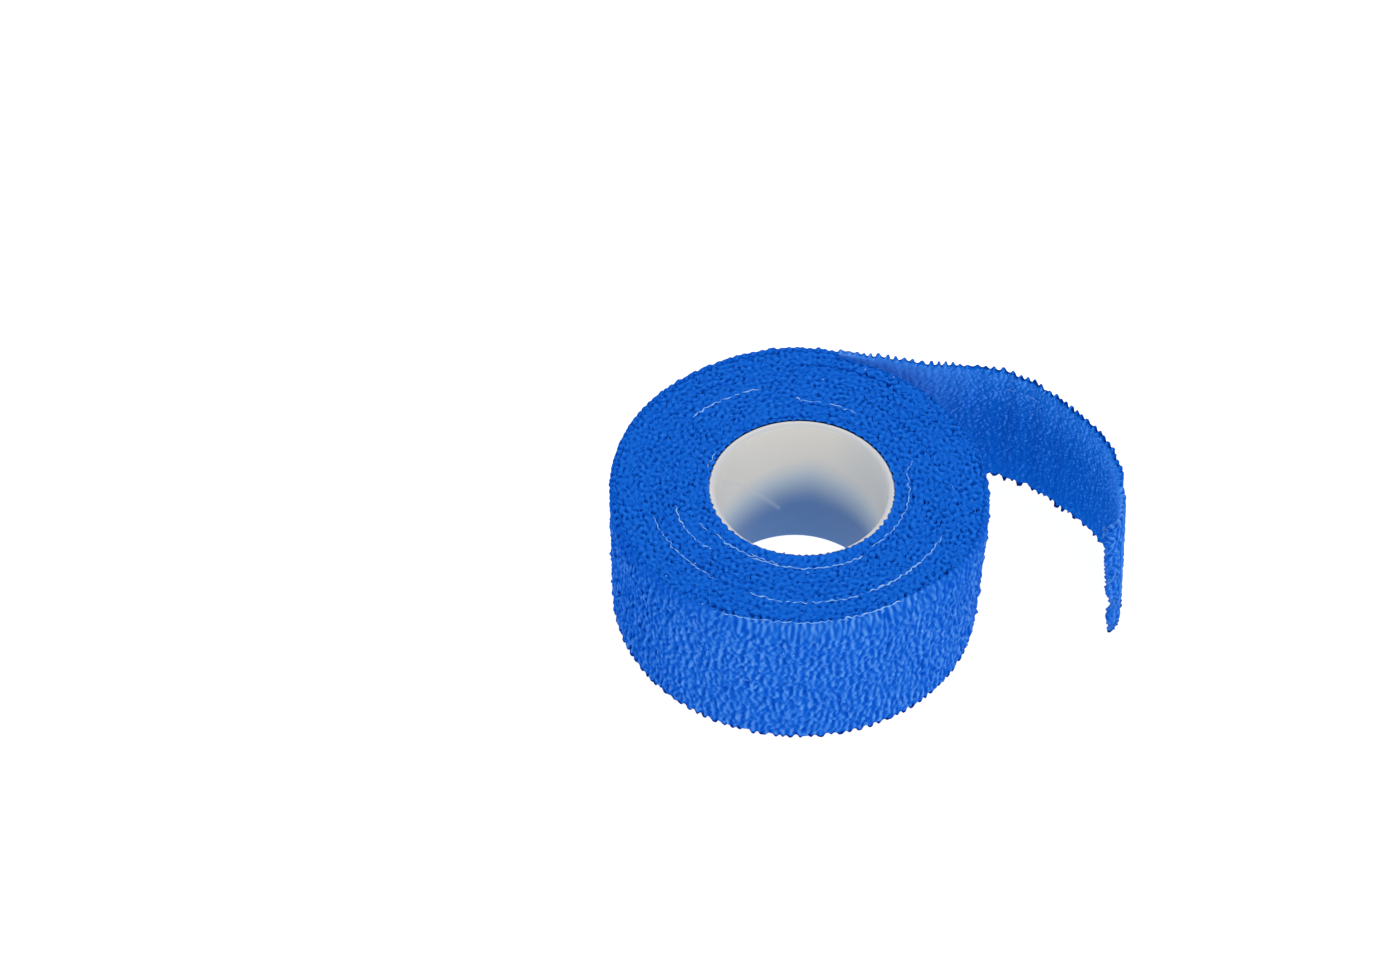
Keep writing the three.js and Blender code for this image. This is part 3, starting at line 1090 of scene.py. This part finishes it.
def crepe_material(name, stops, fibre_share):
    """Elastic crepe: colour by the height of the crinkle, with painted shade in the valleys and
    painted sheen on the crests, broken up by fibres
    """
    material, tree, shader = new_material(name, roughness=0.95, specular=0)
    fibres = noise_of(tree, FIBRE_SQUASH, **FIBRES)
    patches = noise_of(tree, **PATCHES)
    level = worked_out(tree, "MULTIPLY_ADD", fibres, fibre_share, attribute_of(tree, "relief"))
    level = worked_out(tree, "MULTIPLY_ADD", patches, PATCH_SHARE, level)
    middle = (fibre_share + PATCH_SHARE) / 2
    level = worked_out(tree, "SUBTRACT", level, middle, use_clamp=True)
    feed(ramp_of(tree, level, stops), shader.inputs["Base Color"])
    bump = node_of(tree, "ShaderNodeBump", **FIBRE_BUMP)
    feed(fibres, bump.inputs["Height"])
    feed(bump.outputs["Normal"], shader.inputs["Normal"])
    return material


def plastic_material():
    """Thin off-white plastic, with painted blue shade towards its lower end"""
    material, tree, shader = new_material("core_plastic", roughness=0.42, specular=0.25)
    cloud = noise_of(tree, **CLOUD)
    # The blue attribute is painted shade, tinted with painted light from the strip
    blue = attribute_of(tree, "blue")
    share = worked_out(tree, "MULTIPLY_ADD", cloud, CLOUD_SHARE, blue, use_clamp=True)
    wall = ramp_of(tree, share, WALL_STOPS)
    with_rim = mixed_colour(tree, attribute_of(tree, "rim"), wall, RIM_COLOUR)
    crease = worked_out(tree, "MULTIPLY", attribute_of(tree, "crease"), CREASE_SHARE)
    feed(mixed_colour(tree, crease, with_rim, CREASE_COLOUR), shader.inputs["Base Color"])
    return material


def thread_material():
    """Pale elastic thread, with a little of the strip's blue rubbed into it"""
    material, tree, shader = new_material("pale_thread", roughness=0.7, specular=0.1)
    rubbed = noise_of(tree, **RUBBED)
    feed(mixed_colour(tree, rubbed, *THREAD_COLOURS), shader.inputs["Base Color"])
    return material


# Stage. The camera's angles are in degrees, and its aim is from the roll's axis at floor level.
CAMERA = {
    "aim": (-15.24, 11.84, 12.5),
    "distance": 1193.4,
    "azimuth": 1.097,
    "elevation": 48.19,
    "roll": 2.07,
    "sensor": 36,
    "half_view": 5,
    "clip": (0.05, 20),  # in metres, as the floor's and the lamp's sizes
}
FLOOR = {"half": 3, "grey": 0.4, "glow": 0.87}
LAMP = {"place": (0.5, -0.7, 1.1), "size": 1.2, "energy": 4}
SKY_STRENGTH = 0.95


def make_camera():
    data = bpy.data.cameras.new("camera")
    data.sensor_width = CAMERA["sensor"]
    data.lens = data.sensor_width / 2 / math.tan(math.radians(CAMERA["half_view"]))
    data.clip_start, data.clip_end = CAMERA["clip"]
    camera = new_object("camera", data)
    azimuth = math.radians(CAMERA["azimuth"])
    elevation = math.radians(CAMERA["elevation"])
    back = Vector((
        math.sin(azimuth) * math.cos(elevation),
        -math.cos(azimuth) * math.cos(elevation),
        math.sin(elevation),
    ))
    aim = Vector(CAMERA["aim"]) * MM + Vector((AXIS.x, AXIS.y, 0))
    place = Matrix.Translation(aim + back * CAMERA["distance"] * MM)
    turn = (-back).to_track_quat("-Z", "Y").to_matrix().to_4x4()
    roll = Matrix.Rotation(math.radians(CAMERA["roll"]), 4, "Z")
    camera.matrix_world = place @ turn @ roll
    bpy.context.scene.camera = camera


def make_floor():
    """A white floor that glows a little, so that shadows on it stay faint"""
    half = FLOOR["half"]
    mesh = bpy.data.meshes.new("floor")
    corners = [(-half, -half, 0), (half, -half, 0), (half, half, 0), (-half, half, 0)]
    mesh.from_pydata(corners, [], [(0, 1, 2, 3)])
    material, _, shader = new_material("floor_white", roughness=1, specular=0)
    shader.inputs["Base Color"].default_value = (*[FLOOR["grey"]] * 3, 1)
    shader.inputs["Emission Color"].default_value = (1, 1, 1, 1)
    shader.inputs["Emission Strength"].default_value = FLOOR["glow"]
    mesh.materials.append(material)
    floor = new_object("floor", mesh)


def make_light():
    world = bpy.data.worlds.new("white_room")
    world.use_nodes = True
    bpy.context.scene.world = world
    sky = world.node_tree.nodes["Background"]
    sky.inputs["Color"].default_value = (1, 1, 1, 1)
    sky.inputs["Strength"].default_value = SKY_STRENGTH
    lamp = bpy.data.lights.new("soft_box", "AREA")
    lamp.shape = "DISK"
    lamp.size = LAMP["size"]
    lamp.energy = LAMP["energy"]
    holder = new_object("soft_box", lamp)
    holder.location = LAMP["place"]
    holder.rotation_mode = "QUATERNION"
    holder.rotation_quaternion = (-holder.location).to_track_quat("-Z", "Y")
    bpy.context.scene.view_settings.view_transform = "Standard"


def main():
    make_camera()
    make_floor()
    make_light()
    side_cloth = crepe_material("crepe_side", SIDE_STOPS, fibre_share=0.22)
    end_cloth = crepe_material("crepe_end", END_STOPS, fibre_share=0.3)
    inner_cloth = crepe_material("crepe_inner", INNER_STOPS, fibre_share=0.4)

    # The crepe runs on without a break from the last turn to the loose end
    borders = wound_turns(end_cloth, grain_field())
    turned = even_columns(LAST_TURN, END_TURN, COLUMN_STEP)
    seam = len(turned)
    relief, edges = crepe_field(seam + round(LOOSE_LENGTH / COLUMN_STEP))
    last_edges = {edge: swing[:seam] for edge, swing in edges.items()}
    loose_edges = {edge: swing[seam - 1:] for edge, swing in edges.items()}
    last_turn(side_cloth, end_cloth, turned, relief[:seam], last_edges, borders)
    loose_cloth(side_cloth, inner_cloth, relief[seam - 1:], loose_edges)
    core_sleeve(plastic_material())
    stray_threads(thread_material())


main()
